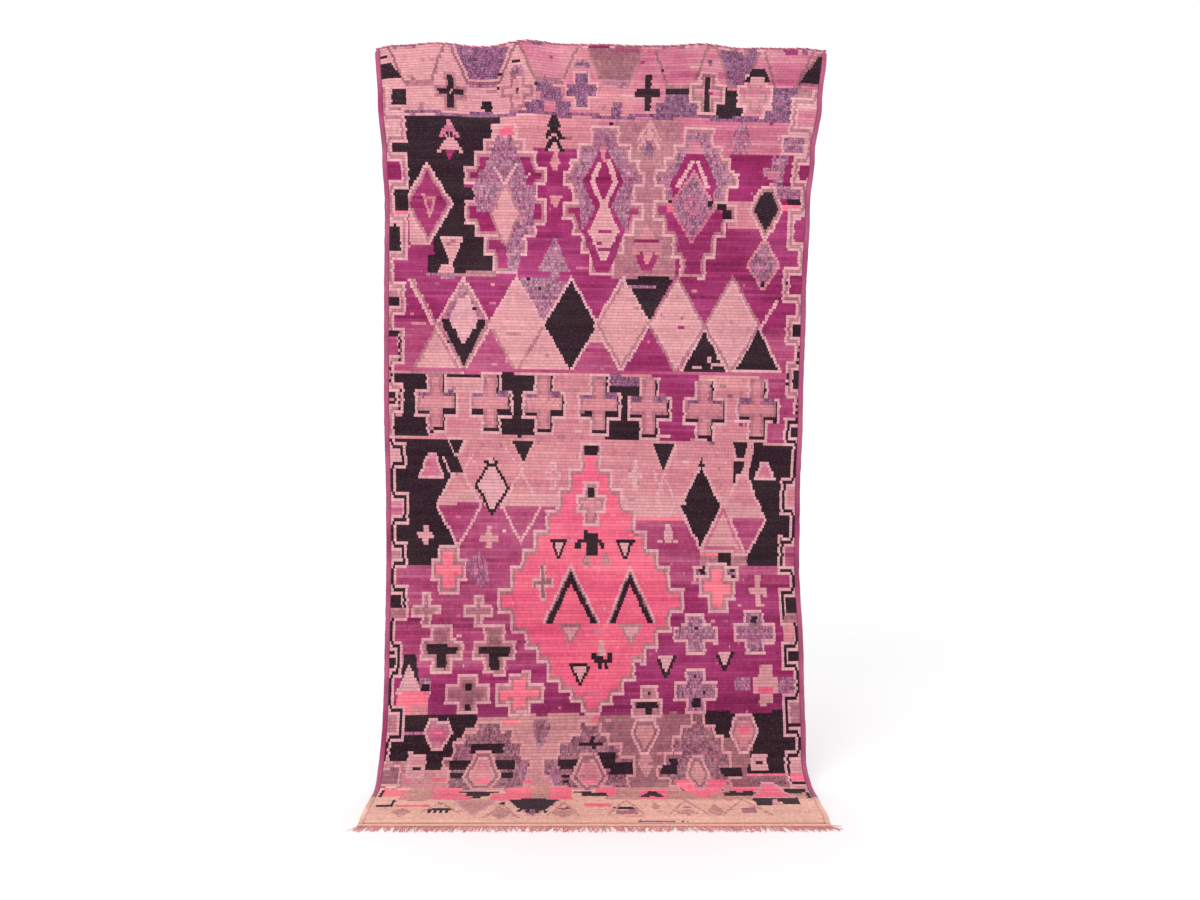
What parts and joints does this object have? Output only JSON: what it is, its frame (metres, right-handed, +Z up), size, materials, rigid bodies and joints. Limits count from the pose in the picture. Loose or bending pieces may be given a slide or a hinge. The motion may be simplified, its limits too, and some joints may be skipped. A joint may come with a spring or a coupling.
{
  "type": "hung moroccan pile rug with a fringed floor end",
  "caption": "Hand-knotted wool rug hung by its wavy top edge, its lower end sweeping forward on to the floor and ending in a fringe.",
  "frame": {"origin": "on the axis of the cord along the top edge, at the middle of the rug, where the rug is hung; the floor is 2.81 m below", "axes": "+Z up; the pile face looks along -Y, and the lower end sweeps forward along -Y; +X to the right as the face is seen"},
  "size_m": [1.7388, 0.6271, 2.8243],
  "materials": {
    "pile": "matte wool pile, ribbed by its knot rows",
    "side_wool": "matte overcast wool",
    "head_wool": "matte twined wool",
    "warp_ends": "matte twisted yarn"
  },
  "bodies": {
    "root": {"field": "pile", "selvedge_left": "side_wool", "selvedge_right": "side_wool", "head_cord": "head_wool", "fringe": "warp_ends"}
  },
  "joints": []
}
